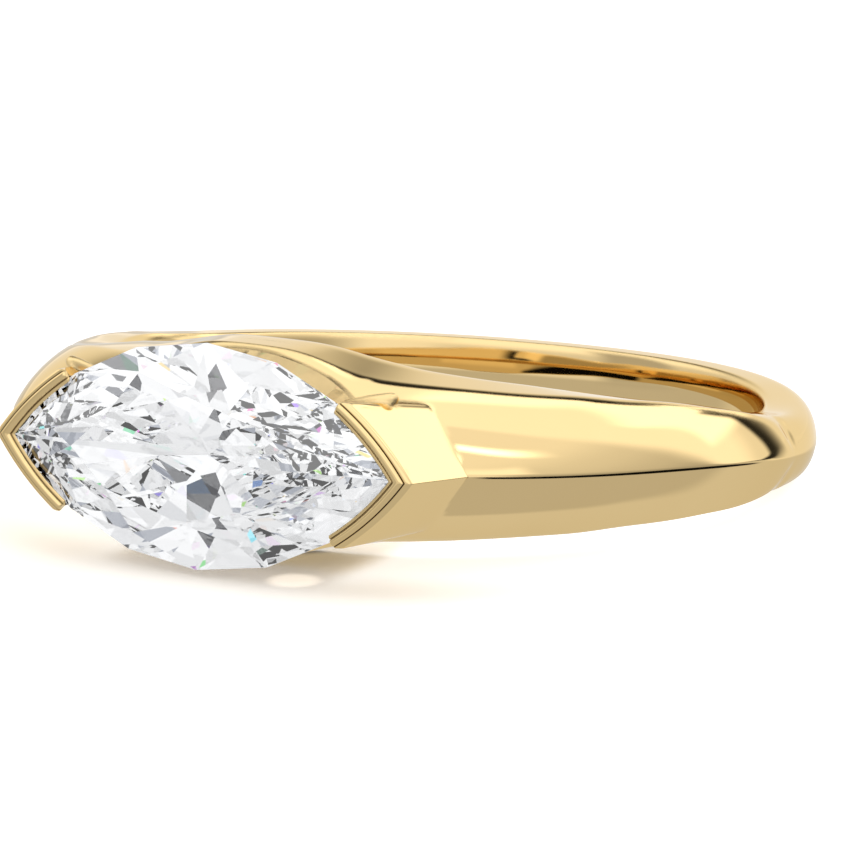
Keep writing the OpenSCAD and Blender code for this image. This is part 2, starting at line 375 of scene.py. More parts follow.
# %% Driving sizes of the V caps
outer_tip = 5.57  # the cap's outer edge at its point, from the middle of the ring
outer_c = arc_c + 0.3  # the outer edge is a flatter arc than the stone's
lip_in = 0.13  # how far the lip reaches over the stone
inner_tip = math.sqrt((arc_r - lip_in) ** 2 - arc_c ** 2)
lip_z = 12.13
lip_fall = 0.04  # the lip's height drops by this toward the point
bead_h = 0.07
bead_half = 0.14
bead_in = 0.17  # the bead's middle, inward of the outer edge
groove = 0.05
outer_groove_in = 0.02
inner_groove_in = 0.325
slope_in = 0.35  # where the slope to the stone begins, inward of the outer edge
slope_up = 0.01
lip_edge = 0.05
lip_drop = 0.03
flank = 0.13  # radius of the rounded flank
step_z = lip_z - bead_h
flank_z = step_z - flank
cap_base = 9.2  # inside the band's metal
wall_draft = 0.19  # the outer wall leans out by this much for each mm down
flare_at_end = 0.72  # share of the lean left at an arm's end
flare_gain = 0.28
end_round = 0.05
arm_angle = math.asin(3.72 / arc_r)
end_z_base = 1.45
end_z_lip = 1.7
cap_steps = 40
end_steps = 5
wall_steps_up = 10
flank_steps = 7
bead_steps = 10
print("a cap reaches from", round(inner_tip, 2), "to", outer_tip, "mm and up to", lip_z, "mm")

# %% [markdown]
# A cap's section is walked like the band's: up the outer wall, over a rounded flank, through a graver's
# groove, over the bead that the setter pushed against the stone, through a second groove and down a
# small slope to the crown. The grooves are what draws the fine dark lines along the lips in the photo.
# A bump in the material could draw them too, but it would not show on the lip's outline.

# %% Section of a cap
def cap_row(across, h):
    """A row of a cap from its distance outward of the lip's edge, as (arc's centre, radius, height)."""
    if across >= 0:
        return (outer_c, math.hypot(outer_tip, outer_c) + across, h)
    c = outer_c + (arc_c - outer_c) * -across / (outer_tip - inner_tip)
    return (c, math.hypot(outer_tip + across, c), h)


def cap_profile(inset):
    """Section of a cap's arm: outer wall, rounded flank, groove, bead, groove, slope to the stone."""
    rows = []
    for k in range(wall_steps_up + 1):
        h = cap_base + (flank_z - inset - cap_base) * k / wall_steps_up
        rows.append(cap_row(flank + wall_draft * (flank_z - h) - inset, h))
    for t in np.linspace(0, math.pi / 2, flank_steps + 1)[1:]:
        rows.append(cap_row(flank * math.cos(t) - inset, flank_z + flank * math.sin(t) - inset))
    rows.append(cap_row(-outer_groove_in - inset, step_z - groove - inset))
    for t in np.linspace(0, math.pi, bead_steps + 1):
        across = -bead_in + (bead_half - inset / 2) * math.cos(t)
        rows.append(cap_row(across, step_z + bead_h * math.sin(t) - inset))
    inner = inner_tip - outer_tip + inset
    rows.append(cap_row(-inner_groove_in, step_z - groove / 2 - inset))
    rows.append(cap_row(-slope_in, step_z + slope_up - inset))
    rows.append(cap_row(inner + lip_edge, step_z - inset))
    rows.append(cap_row(inner, step_z - lip_drop - inset))
    rows.append(cap_row(inner, cap_base))
    return rows


print("rows in a cap's section:", len(cap_profile(0)))

# %% [markdown]
# A curve object could sweep that section along an arm, but it would not keep the mitre crisp, where
# the arms meet, and could not let the wall flare toward the middle. So each row of the section gets its
# own arc over the plan, and the points are found where the arcs cross the arm's end and the mitre. The
# upper half is made and mirrored, so both arms meet exactly. The arm's end is rounded by drawing the
# section in over its last few hundredths of a millimetre.

# %% The V caps
def arm_point(row, share, beyond):
    """Point at a share of the way from the arm's end to the mitre, or beyond the end by some mm."""
    c, r, h = row
    wall_r = math.hypot(outer_tip, outer_c) + flank
    if r > wall_r:
        r = wall_r + (r - wall_r) * (flare_at_end + flare_gain * math.sqrt(math.sin(share * math.pi / 2)))
    d = c - arc_c
    rho = -d * math.cos(arm_angle) + math.sqrt(r * r - (d * math.sin(arm_angle)) ** 2)
    up = (h - cap_base) / (lip_z - cap_base)
    end_z = min(rho * math.cos(arm_angle) - arc_c, end_z_base + (end_z_lip - end_z_base) * up)
    start = math.acos((end_z + c) / r)
    a = start + (math.acos(c / r) - start) * share - beyond / r
    z = 0.0 if share == 1 else max(0.0, r * math.cos(a) - c)
    return (r * math.sin(a), -(h - lip_fall * share * up), z)


def v_cap(side):
    """One V cap as a closed mesh; side is 1 for the right one and -1 for the left."""
    plan = []
    for t in np.linspace(0, math.pi / 2, end_steps + 1)[:-1]:
        plan.append((0.0, end_round * (1 - math.sin(t)), end_round * math.cos(t)))
    plan += [(k / cap_steps, 0.0, 0.0) for k in range(cap_steps + 1)]
    points = []
    for share, inset, beyond in plan:
        points += [arm_point(row, share, beyond) for row in cap_profile(inset)]
    rows = len(plan)
    cols = len(cap_profile(0))
    for i in range(rows - 2, -1, -1):
        points += [(x, y, -z) for x, y, z in points[i * cols:(i + 1) * cols]]
    rows = 2 * rows - 1
    points = [(side * x, y, z) for x, y, z in points]
    return new_piece("v_cap", points, grid_faces(rows, cols, False, True) + end_faces(rows, cols))


caps = [v_cap(1), v_cap(-1)]
print("faces of a cap:", len(caps[0].data.polygons))

# %% [markdown]
# On the finger's far side the rail under the stone ends in a small rounded stub against each cap. A
# stretched sphere would be close, but the stub tapers, so it is a row of circles along a short line,
# closed at both ends.

# %% The rail's rounded ends
RAIL_THICK = Vector((4.42, -10.72, 1.72))
RAIL_THIN = Vector((3.2, -11.0, 1.56))
RAIL_RINGS = [(-0.16, 0.04), (-0.12, 0.1), (-0.06, 0.14), (0, 0.155), (0.3, 0.14), (0.6, 0.11),
              (0.9, 0.07), (1.15, 0.03)]  # distance from the thick end, radius
rail_sides = 24


def rail_end(side):
    """The rounded end of the side rail, a small stub where the rail runs into the cap."""
    way = (RAIL_THIN - RAIL_THICK).normalized()
    across = way.cross(Vector((0, 0, 1))).normalized()
    over = way.cross(across)
    points = []
    for far, radius in RAIL_RINGS:
        for t in np.linspace(0, 2 * math.pi, rail_sides + 1)[:-1]:
            p = RAIL_THICK + way * far + across * radius * math.cos(t) + over * radius * math.sin(t)
            points.append((side * p.x, p.y, p.z))
    rows = len(RAIL_RINGS)
    return new_piece("rail_end", points,
                     grid_faces(rows, rail_sides, False, True) + end_faces(rows, rail_sides))


rail_ends = [rail_end(1), rail_end(-1)]
print("length of a rail end:", round(RAIL_RINGS[-1][0] - RAIL_RINGS[0][0], 2), "mm")

# %% [markdown]
# The stone sits in an open room: straight walls down to a closed floor, a ledge under the girdle and a
# slope under the lips of the caps. A solid of that room is lofted through marquise outlines and taken
# away from the gold, as a setter's bur takes it. Booleans often leave poor meshes for what comes after
# them, but here nothing does, and solder and bur are just what they imitate.

# %% The room for the stone
seat_in = 0.3  # width of the ledge under the girdle
pocket_floor = 9.0
room_top = 13.4
lip_clear = 0.04
lip_slope = 0.13  # height over which the room narrows under the lips
groove_low = girdle_r - girdle_t / 2 - gap
groove_high = girdle_r + girdle_t / 2 + gap
outline_steps = 72


def marquise_outline(t):
    """Plan points (x, z) of the stone's outline moved outward by t."""
    r = arc_r + t
    reach = math.asin(math.sqrt(r * r - arc_c ** 2) / r)
    upper = [(r * math.sin(a), r * math.cos(a) - arc_c)
             for a in np.linspace(-reach, reach, outline_steps + 1)]
    return upper + [(x, -z) for x, z in upper[-2:0:-1]]


room_rows = [(pocket_floor, -seat_in), (groove_low - seat_in - gap, -seat_in), (groove_low, gap),
             (groove_high, gap), (groove_high + lip_slope, -lip_in - lip_clear),
             (room_top, -lip_in - lip_clear)]
room_points = [(x, -h, z) for h, t in room_rows for x, z in marquise_outline(t)]
ring_count = 2 * outline_steps
room_faces = grid_faces(len(room_rows), ring_count, False, True) + end_faces(len(room_rows), ring_count)
stone_room = new_piece("stone_room", room_points, room_faces)


def shape_with(piece, tool, operation):
    """Joins a tool to a piece or takes it away, and removes the tool."""
    change = piece.modifiers.new(operation, "BOOLEAN")
    change.operation = operation
    change.solver = "MANIFOLD"
    change.object = tool
    graph = bpy.context.evaluated_depsgraph_get()
    made = bpy.data.meshes.new_from_object(piece.evaluated_get(graph))
    piece.modifiers.clear()
    piece.data = made
    bpy.data.objects.remove(tool)


SHARP_DEGREES = 24
for tool in caps + rail_ends:
    shape_with(gold_mount, tool, "UNION")
shape_with(gold_mount, stone_room, "DIFFERENCE")
gold_mount.data.name = "gold_mount"
gold_mount.data.transform(to_rest)
gold_mount.data.shade_smooth()
gold_mount.data.set_sharp_from_angle(angle=math.radians(SHARP_DEGREES))
print("gold faces:", len(gold_mount.data.polygons))

# %% [markdown]
# The diamond is a marquise brilliant with 57 facets. A round one warped to this pointed outline would
# have bent facets, and facets are ground flat, so they are built as planes: the girdle's points stand
# on the two arcs of the outline, and each other corner is where two facet planes meet at a known
# height.

# %% Driving sizes of the stone
stations = [1, 0.87, 0.68, 0.36, 0, -0.36, -0.68, -0.87, -1]  # girdle points, in shares of half its length
kites = 8
girdle_count = 2 * kites
table_l = 0.6  # the table's length and width as shares of the stone's
table_w = 0.56
star_drop = 0.34
lower_rise = 0.76
girdle_top = girdle_t / 2
table_z = girdle_top + crown_h
culet = Vector((0, 0, -girdle_top - pavilion_h))


def girdle_point(i, z):
    """Point of the girdle, numbered round the outline."""
    i %= girdle_count
    share = stations[i] if i <= kites else stations[girdle_count - i]
    x = half_len * share
    y = math.sqrt(arc_r ** 2 - x ** 2) - arc_c
    return Vector((x, y if i <= kites else -y, z))


def table_point(k):
    """Corner of the table, numbered by its kite facet."""
    g = girdle_point(2 * k, 0)
    return Vector((g.x * table_l, g.y * table_w, table_z))


def along(k):
    """Direction of the outline at a kite's foot."""
    g = girdle_point(2 * k, 0)
    if k % (kites // 2) == 0:
        return Vector((0, 1, 0))
    return Vector((g.y + arc_c, -g.x, 0)) if g.y > 0 else Vector((arc_c - g.y, g.x, 0))


def meet(n1, p1, n2, p2, z):
    """Point at a height on the line in which two planes meet."""
    d1 = n1.dot(p1) - n1.z * z
    d2 = n2.dot(p2) - n2.z * z
    w = n1.x * n2.y - n1.y * n2.x
    return Vector(((d1 * n2.y - d2 * n1.y) / w, (n1.x * d2 - n2.x * d1) / w, z))


print("depth of the stone:", round(table_z - culet.z, 2), "mm")

# %% [markdown]
# The corners are joined to faces one ring after another: the table, the stars and kites round it, the
# halves above and below the girdle, the mains down to the tip, and sixteen narrow strips for the girdle
# itself. No face is smoothed, because the sparkle comes from the flats.

# %% The cut stone
def crown_and_pavilion_corners():
    """Corners where neighbouring kite facets and neighbouring pavilion mains meet."""
    kite = [along(k).cross(table_point(k) - girdle_point(2 * k, girdle_top)) for k in range(kites)]
    main = [along(k).cross(culet - girdle_point(2 * k, -girdle_top)) for k in range(kites)]
    star_z = table_z - crown_h * star_drop
    lower_z = culet.z + pavilion_h * (1 - lower_rise)
    stars = [meet(kite[k], table_point(k), kite[(k + 1) % kites], table_point((k + 1) % kites), star_z)
             for k in range(kites)]
    lowers = [meet(main[k], culet, main[(k + 1) % kites], culet, lower_z) for k in range(kites)]
    return stars, lowers


def cut_stone():
    """The faceted stone at its place in the ring."""
    stars, lowers = crown_and_pavilion_corners()
    form = bmesh.new()
    put = form.verts.new
    table = [put(table_point(k)) for k in range(kites)]
    star = [put(p) for p in stars]
    over = [put(girdle_point(i, girdle_top)) for i in range(girdle_count)]
    under = [put(girdle_point(i, -girdle_top)) for i in range(girdle_count)]
    lower = [put(p) for p in lowers]
    tip = put(culet)
    form.faces.new(table)
    for k in range(kites):
        n = (k + 1) % kites
        b = k - 1
        form.faces.new((table[n], star[k], table[k]))
        form.faces.new((star[k], over[2 * k], star[b], table[k]))
        form.faces.new((lower[b], under[2 * k], lower[k], tip))
    for i in range(girdle_count):
        n = (i + 1) % girdle_count
        form.faces.new((over[n], over[i], star[i // 2]))
        form.faces.new((over[n], under[n], under[i], over[i]))
        form.faces.new((under[i], under[n], lower[i // 2]))
    bmesh.ops.recalc_face_normals(form, faces=form.faces)
    mesh = bpy.data.meshes.new("marquise_stone")
    form.to_mesh(mesh)
    form.free()
    stone = bpy.data.objects.new("marquise_stone_cut", mesh)
    bpy.context.scene.collection.objects.link(stone)
    to_head = Matrix.Rotation(math.pi / 2, 4, "X") @ Matrix.Translation((0, 0, girdle_r))
    mesh.transform(to_rest @ to_head)
    return stone


marquise_stone = cut_stone()
print("stone facets:", len(marquise_stone.data.polygons) - girdle_count, "and", girdle_count, "girdle strips")

# %% [markdown]
# Colours are noted as sRGB hex values, which one function turns to the linear values that Blender
# works in. One small function adds a node, sets it, and sets or links its sockets.

# %% Colours and nodes
def linear(hex_colour):
    """Linear colour from an sRGB hex value."""
    value = [int(hex_colour[i:i + 2], 16) / 255 for i in (1, 3, 5)]
    return [c / 12.92 if c <= 0.04045 else ((c + 0.055) / 1.055) ** 2.4 for c in value] + [1]


def add_node(tree, kind, settings=None, sockets=None):
    """A node with its settings, and each named or numbered socket set to a value or linked."""
    node = tree.nodes.new(kind)
    for name, value in (settings or {}).items():
        setattr(node, name, value)
    for name, value in (sockets or {}).items():
        if isinstance(value, bpy.types.NodeSocket):
            tree.links.new(value, node.inputs[name])
        else:
            node.inputs[name].default_value = value
    return node


def new_material(name):
    """An empty material and its node tree."""
    material = bpy.data.materials.new(name)
    material.use_nodes = True
    material.node_tree.nodes.clear()
    return material, material.node_tree


print("gold's linear colour:", [round(c, 3) for c in linear("#EACE97")[:3]])

# %% [markdown]
# The gold is an 18 carat yellow alloy, polished with rouge on felt. First its edges: polishing takes
# a few hundredths of a millimetre off each, and in the valley beside a cap the solder fills the corner
# much more. A bevel in the shading does this without more mesh, with a radius that grows from one to
# the other by place.

# %% Edges of the polished gold
edge_soft = 0.03 * MM
valley_soft = 0.22 * MM  # added in the valley
valley_y = (-11.5 * MM, -11.0 * MM)  # behind the lips of the caps
valley_off_middle = (0.15 * MM, 0.55 * MM)  # beside the ridge, which stays crisp
ring_axis = (to_rest.to_3x3() @ Vector((0, 0, 1))).normalized()
gold, tree = new_material("polished_yellow_gold")
place = add_node(tree, "ShaderNodeTexCoord")
axes = add_node(tree, "ShaderNodeSeparateXYZ", None, {"Vector": place.outputs["Object"]})
off_middle = add_node(tree, "ShaderNodeVectorMath", {"operation": "DOT_PRODUCT"},
                      {0: place.outputs["Object"], 1: ring_axis})
off_middle = add_node(tree, "ShaderNodeMath", {"operation": "ABSOLUTE"}, {0: off_middle.outputs["Value"]})
behind_lip = add_node(tree, "ShaderNodeMapRange", {"interpolation_type": "SMOOTHSTEP"},
                      {"Value": axes.outputs["Y"], "From Min": valley_y[0], "From Max": valley_y[1]})
off_ridge = add_node(tree, "ShaderNodeMapRange", {"interpolation_type": "SMOOTHSTEP"},
                     {"Value": off_middle.outputs[0], "From Min": valley_off_middle[0],
                      "From Max": valley_off_middle[1]})
valley = add_node(tree, "ShaderNodeMath", {"operation": "MULTIPLY"},
                  {0: behind_lip.outputs[0], 1: off_ridge.outputs[0]})
softness = add_node(tree, "ShaderNodeMath", {"operation": "MULTIPLY_ADD"},
                    {0: valley.outputs[0], 1: valley_soft, 2: edge_soft})
soft_edges = add_node(tree, "ShaderNodeBevel", {"samples": 8}, {"Radius": softness.outputs[0]})
print("edges softened by", round(edge_soft / MM, 2), "mm, and by",
      round((edge_soft + valley_soft) / MM, 2), "mm in the valleys")

# %% [markdown]
# Gold is a metal, so nearly all that the eye sees is its surroundings, tinted. Real polish is not
# perfect: the colour drifts a little over some 3 mm where the alloy cooled unevenly, and hairlines make
# the mirror softer. They are a few thousandths of a millimetre wide, too fine for the render, so they
# are drawn as patches 0.4 mm across. In the grooves and tight junctions the colour is painted darker,
# toward a dark brown, wherever ambient occlusion finds them: painted shade that draws dark lines there.

# %% Colour and gloss of the polished gold
drifts_per_mm = 0.35
hairline_patch = 0.4 * MM
# reach of the ambient occlusion that paints shade into grooves and junctions
groove_shade_reach = 0.12 * MM  # as deep as the grooves with their bead
drift = add_node(tree, "ShaderNodeTexNoise", None,
                 {"Vector": place.outputs["Object"], "Scale": drifts_per_mm / MM, "Detail": 2.0})
alloy = add_node(tree, "ShaderNodeMix", {"data_type": "RGBA"},
                 {0: drift.outputs["Fac"], 6: linear("#ECD19B"), 7: linear("#E8CB93")})
# painted shade: the colour goes toward dark brown #2A1E12 where ambient occlusion finds grooves and tight
# junctions
grooves = add_node(tree, "ShaderNodeAmbientOcclusion", {"samples": 6},
                   {"Distance": groove_shade_reach, "Normal": soft_edges.outputs[0]})
unshaded_share = add_node(tree, "ShaderNodeMapRange", None,
                 {"Value": grooves.outputs["AO"], "From Min": 0.25, "From Max": 0.8})
tone = add_node(tree, "ShaderNodeMix", {"data_type": "RGBA"},
                {0: unshaded_share.outputs[0], 6: linear("#2A1E12"), 7: alloy.outputs[2]})
hairlines = add_node(tree, "ShaderNodeTexNoise", None,
                     {"Vector": place.outputs["Object"], "Scale": 1 / hairline_patch, "Detail": 3.0})
gloss = add_node(tree, "ShaderNodeMapRange", None,
                 {"Value": hairlines.outputs["Fac"], "To Min": 0.02, "To Max": 0.045})
metal = add_node(tree, "ShaderNodeBsdfPrincipled", None,
                 {"Base Color": tone.outputs[2], "Metallic": 1.0, "Roughness": gloss.outputs[0],
                  "Specular Tint": linear("#F4EBD6"), "Normal": soft_edges.outputs[0]})
add_node(tree, "ShaderNodeOutputMaterial", None, {"Surface": metal.outputs[0]})
gold_mount.data.materials.clear()
gold_mount.data.materials.append(gold)
print("gold nodes:", len(tree.nodes))

# %% [markdown]
# The stone is a colourless diamond, cut and polished on a lap. Its refractive index of 2.417 bends and
# traps light, so each facet shows a far part of the room. The body is clear with the faintest cool
# haze that comes and goes over 1.25 mm, and the lap leaves lines far finer than the eye sees, so the
# roughness is nothing. Glass with a thin wall would be quicker to render, but only a solid with the
# true index gives the dark and bright facets.

# %% Cut diamond
haze_patch = 1.25 * MM
diamond, tree = new_material("cut_diamond")
place = add_node(tree, "ShaderNodeTexCoord")
haze = add_node(tree, "ShaderNodeTexNoise", None,
                {"Vector": place.outputs["Object"], "Scale": 1 / haze_patch, "Detail": 2.0})
body = add_node(tree, "ShaderNodeMix", {"data_type": "RGBA"},
                {0: haze.outputs["Fac"], 6: linear("#FFFFFF"), 7: linear("#FAFCFF")})
crystal = add_node(tree, "ShaderNodeBsdfPrincipled", None,
                   {"Base Color": body.outputs[2], "Roughness": 0.0, "IOR": 2.417,
                    "Transmission Weight": 1.0})
add_node(tree, "ShaderNodeOutputMaterial", None, {"Surface": crystal.outputs[0]})
marquise_stone.data.materials.append(diamond)
print("stone nodes:", len(tree.nodes))

# %% [markdown]
# The floor is a sheet of white paper. Rays from the gold and through the stone pass it by, so that they
# see the tent's own lower half, as polished pieces do on a glass stand above the paper.

# %% White paper floor
reach = 0.6
floor = new_piece("studio_floor", [(-reach, -reach, floor_z), (reach, -reach, floor_z),
                                   (reach, reach, floor_z), (-reach, reach, floor_z)], [(0, 1, 2, 3)])
if floor.data.polygons[0].normal.z < 0:
    floor.data.flip_normals()
floor.visible_glossy = False
floor.visible_transmission = False
gold_mount.visible_transmission = False
print("floor of", 2 * reach, "m at", round(floor_z / MM, 3), "mm")

# %% [markdown]
# A path tracer finds the light that polished gold throws back on the paper only with a great many
# samples, so the paper glows there by itself: warmly and faintly everywhere in the shadow, more beside
# the band, less where the setting touches down, and in one small bright spot in front of the stone.
# The paper is plain uncoated stock. Its fibres are a few hundredths of a millimetre thick, too fine to
# show, so they are drawn as clouds of slightly warmer tone, a little under a millimetre across.

# %% Paper and the light thrown on it
glow_in_shadow = 0.28
glow_beside_band = 0.36
glow_of_spot = 0.4
glow_at_contact = -0.2
clouds_per_mm = 1.2
paper, tree = new_material("white_paper")
place = add_node(tree, "ShaderNodeTexCoord")
fibres = add_node(tree, "ShaderNodeTexNoise", None,
                  {"Vector": place.outputs["Object"], "Scale": clouds_per_mm / MM, "Detail": 4.0})
sheet = add_node(tree, "ShaderNodeMix", {"data_type": "RGBA"},
                 {0: fibres.outputs["Fac"], 6: linear("#FCFBF9"), 7: linear("#FAF8F5")})


def near_on_paper(x, y, none_at, full_at):
    """A mask that is 1 within full_at mm of a point on the paper and 0 beyond none_at mm."""
    point = add_node(tree, "ShaderNodeVectorMath", {"operation": "DISTANCE"},
                     {0: place.outputs["Object"], 1: (x * MM, y * MM, floor_z)})
    return add_node(tree, "ShaderNodeMapRange", {"interpolation_type": "SMOOTHSTEP"},
                    {"Value": point.outputs["Value"], "From Min": none_at * MM,
                     "From Max": full_at * MM}).outputs[0]


axes = add_node(tree, "ShaderNodeSeparateXYZ", None, {"Vector": place.outputs["Object"]})
off_middle = add_node(tree, "ShaderNodeMath", {"operation": "ABSOLUTE"}, {0: axes.outputs["X"]})
beside = add_node(tree, "ShaderNodeMapRange", {"interpolation_type": "SMOOTHSTEP"},
                  {"Value": off_middle.outputs[0], "From Min": 2.4 * MM, "From Max": 3.4 * MM})
thrown = add_node(tree, "ShaderNodeMath", {"operation": "MULTIPLY"},
                  {0: beside.outputs[0], 1: near_on_paper(0, 0, 12.6, 10.2)})
spot = near_on_paper(2.15, -11.2, 0.8, 0.4)
contact = near_on_paper(1.2, -9.0, 2.2, 0.6)
glow = add_node(tree, "ShaderNodeMath", {"operation": "MULTIPLY_ADD"},
                {0: thrown.outputs[0], 1: glow_beside_band, 2: glow_in_shadow})
glow = add_node(tree, "ShaderNodeMath", {"operation": "MULTIPLY_ADD"},
                {0: spot, 1: glow_of_spot, 2: glow.outputs[0]})
glow = add_node(tree, "ShaderNodeMath", {"operation": "MULTIPLY_ADD"},
                {0: contact, 1: glow_at_contact, 2: glow.outputs[0]})
warmth = add_node(tree, "ShaderNodeMix", {"data_type": "RGBA"},
                  {0: thrown.outputs[0], 6: linear("#FFF0DC"), 7: linear("#FFFFFF")})
matt = add_node(tree, "ShaderNodeBsdfPrincipled", None,
                {"Base Color": sheet.outputs[2], "Roughness": 0.9, "Specular IOR Level": 0.0,
                 "Emission Color": warmth.outputs[2], "Emission Strength": glow.outputs[0]})
add_node(tree, "ShaderNodeOutputMaterial", None, {"Surface": matt.outputs[0]})
floor.data.materials.append(paper)
print("paper nodes:", len(tree.nodes))

# %% [markdown]
# Jewellery is lit in a white tent, and what one sees in the gold is the tent: white cloth, brighter
# and dimmer cards, and the dark gaps between them that draw the crisp lines along ridge and crease.
# Area lights could stand for the cards, but for so small an object only their directions matter, so the
# tent is written as a table of cards by direction. Turn is counted in degrees from straight behind the
# ring toward its right, height from the horizon up. Each edge of a card keeps the directions where
# across * turn + up * height is above a limit, and fades over some degrees. The stone has its own
# table, with small dark cards that become the crisp dark facets, because a jeweller's lamp for stones
# is not the one for metal.

# %% The studio's cards
OPEN_TENT = 1.38
STONE_TENT = 1.12
# Each card: its name, its brightness, and its edges as (across, up, limit, fade).
CARDS = [
    ("floor", 0.63, [(0, -1, 2, 2)]),
    ("floor behind", 0.8, [(0, -1, 3, 2), (-1, 0, -38, 4), (1, 0, -80, 8)]),
    ("front horizon", 0.85, [(0, 1, -2, 2), (0, -1, -16, 8), (-1, 0, 60, 10)]),
    ("front horizon right", 0.85, [(0, 1, -2, 2), (0, -1, -16, 8), (1, 0, 140, 10)]),
    ("front left", 0.55, [(0, 1, -4, 3), (0, -1, -45, 8), (-1, 0, 114, 6), (1, 0, -146, 6)]),
    ("backdrop", 1.07, [(0, 1, -1, 2), (0, -1, -35, 5), (1, 0, -75, 8), (-1, 0, -32, 4)]),
    ("backdrop foot", 1.06, [(0, 1, -13, 3), (0, -1, 0, 3), (1, 0, -29, 3), (-1, 0, -26, 3)]),
    ("right side", 1.14, [(1, -0.3, 45, 4), (0, 1, 0, 3), (-1, 0, -150, 10)]),
    ("right side middle", 0.9, [(1, -0.3, 45, 4), (0, 1, 0, 3), (0, -1, -42, 9), (-1, 0, -112, 14)]),
    ("right side low", 0.72, [(1, -0.3, 45, 4), (0, 1, 0, 3), (0, -1, -27, 9), (-1, 0, -112, 14)]),
    ("right side foot", 0.5, [(1, -0.3, 43, 4), (0, 1, -12, 3), (0, -1, -13, 8), (-1, 0, -112, 14)]),
    ("right strip", 1.42, [(0, 1, 30, 3), (0, -1, -43, 3), (1, 0, 98, 6), (-1, 0, -150, 8)]),
    ("lamp", 3.2, [(-0.45, 1, 8.9, 2), (0.45, -1, -15.3, 2), (1, 0, 88, 14), (-1, 0, -140, 8)]),
    ("bright rim", 1.95, [(0, 1, 16, 3), (-0.35, -1, -58, 4), (-1, 0, -41, 2), (1, 0, -18, 5)]),
    ("gap over backdrop", 0.03, [(0, 1, 23, 13), (0, -1, -45.3, 1), (-1, 0, 0.8, 1.2), (1, 0, -60, 6)]),
    ("gap bridge", 0.03, [(0, 1, 37.4, 0.8), (0, -1, -45.3, 1), (1, 0, -6, 2), (-1, 0, -8, 2)]),
    ("gap corner", 0.03, [(0, 1, 19, 4), (-0.55, -1, -40.6, 1.2), (1, 0, 11, 1.5), (-1, 0, -21, 2)]),
    ("gap along horizon", 0.03, [(0, 1, -3.2, 0.8), (0, -1, 0.6, 0.8), (1, 0, 20.5, 2), (-1, 0, -36, 4)]),
    ("gap beside backdrop", 0.03, [(1, -0.27, 16.7, 5.5), (-1, 0.27, -23.9, 1),
                                   (0, -1, -29, 2), (0, 1, -4, 4)]),
    ("gap over floor", 0.005, [(0.47, 1, -10.4, 2), (0, 1, -28, 2), (0.45, -1, 30, 3),
                               (1, 0, 30, 3), (-1, 0, -126, 4), (0, -1, 2, 2)]),
]
STONE_CARDS = [
    ("below", 0.86, [(0, -1, 0, 6)]),
    ("grey front", 0.62, [(0, 1, 34, 2), (0, -1, -58, 2), (1, 0, 100, 2), (-1, 0, -170, 2)]),
    ("grey left", 0.55, [(0, 1, 32, 2), (0, -1, -52, 2), (-1, 0, 96, 2), (1, 0, -140, 2)]),
    ("grey behind", 0.6, [(0, 1, -20, 2), (0, -1, -24, 2), (1, 0, 14, 2), (-1, 0, -52, 2)]),
    ("grey under", 0.5, [(0, 1, -80, 2), (0, -1, 52, 2), (1, 0, 60, 2), (-1, 0, -150, 2)]),
    ("viewer", 0.07, [(0, 1, -2, 1), (0, -1, -30, 1), (-1, 0, 138, 1), (1, 0, -166, 1)]),
    ("dark left", 0.09, [(0, 1, 8, 1), (0, -1, -30, 1), (-1, 0, 70, 1), (1, 0, -92, 1)]),
    ("dark right", 0.09, [(0, 1, 24, 1), (0, -1, -50, 1), (1, 0, 60, 1), (-1, 0, -85, 1)]),
    ("dark behind", 0.08, [(0, 1, 30, 1), (0, -1, -50, 1), (-1, 0, -10, 1), (1, 0, -16, 1)]),
    ("dark below", 0.1, [(0, 1, -50, 1), (0, -1, 24, 1), (-1, 0, 20, 1), (1, 0, -50, 1)]),
]
print("cards:", len(CARDS), "for the gold,", len(STONE_CARDS), "for the stone")

# %% [markdown]
# A world shader turns a direction into a brightness. The direction's turn and height come from two
# angles, and every card is mixed over those before it. A light path node later gives rays that leave
# the stone their own tent.

# %% The studio tent as a world
world = bpy.data.worlds.new("studio_tent")
world.use_nodes = True
tree = world.node_tree
tree.nodes.clear()
look = add_node(tree, "ShaderNodeTexCoord")
axes = add_node(tree, "ShaderNodeSeparateXYZ", None, {"Vector": look.outputs["Generated"]})
turn_round = add_node(tree, "ShaderNodeMath", {"operation": "ARCTAN2"},
                      {0: axes.outputs["X"], 1: axes.outputs["Y"]})
height = add_node(tree, "ShaderNodeMath", {"operation": "ARCSINE"}, {0: axes.outputs["Z"]})
radians_pair = add_node(tree, "ShaderNodeCombineXYZ", None,
                        {"X": turn_round.outputs[0], "Y": height.outputs[0]})
direction = add_node(tree, "ShaderNodeVectorMath", {"operation": "SCALE"},
                     {0: radians_pair.outputs[0], "Scale": math.degrees(1)})


def lit_by(tent, cards):
    """Brightness of the tent with its cards mixed over it in order."""
    brightness = tent
    for card, level, edges in cards:
        part = 1.0
        for across, up, limit, fade in edges:
            away = add_node(tree, "ShaderNodeVectorMath", {"operation": "DOT_PRODUCT"},
                            {0: direction.outputs[0], 1: (across, up, 0)})
            step = add_node(tree, "ShaderNodeMapRange", {"interpolation_type": "SMOOTHSTEP"},
                            {"Value": away.outputs["Value"], "From Min": limit - fade,
                             "From Max": limit + fade})
            part = add_node(tree, "ShaderNodeMath", {"operation": "MULTIPLY"},
                            {0: step.outputs[0], 1: part}).outputs[0]
        brightness = add_node(tree, "ShaderNodeMix", {"data_type": "FLOAT", "label": card},
                              {0: part, 2: brightness, 3: level}).outputs[0]
    return brightness


studio_light = lit_by(OPEN_TENT, CARDS)
stone_light = lit_by(STONE_TENT, STONE_CARDS)
print("nodes for the cards:", len(tree.nodes))

# %% [markdown]
# The gold's tent is plain white light. For the stone the brightness also picks a colour from a ramp,
# since dim facets look cool grey, and a random colour in a few cells of a Voronoi pattern, each about
# half a degree wide, stands for the fire. Light bounces many times in a cut stone, so the limits of
# the render are raised.

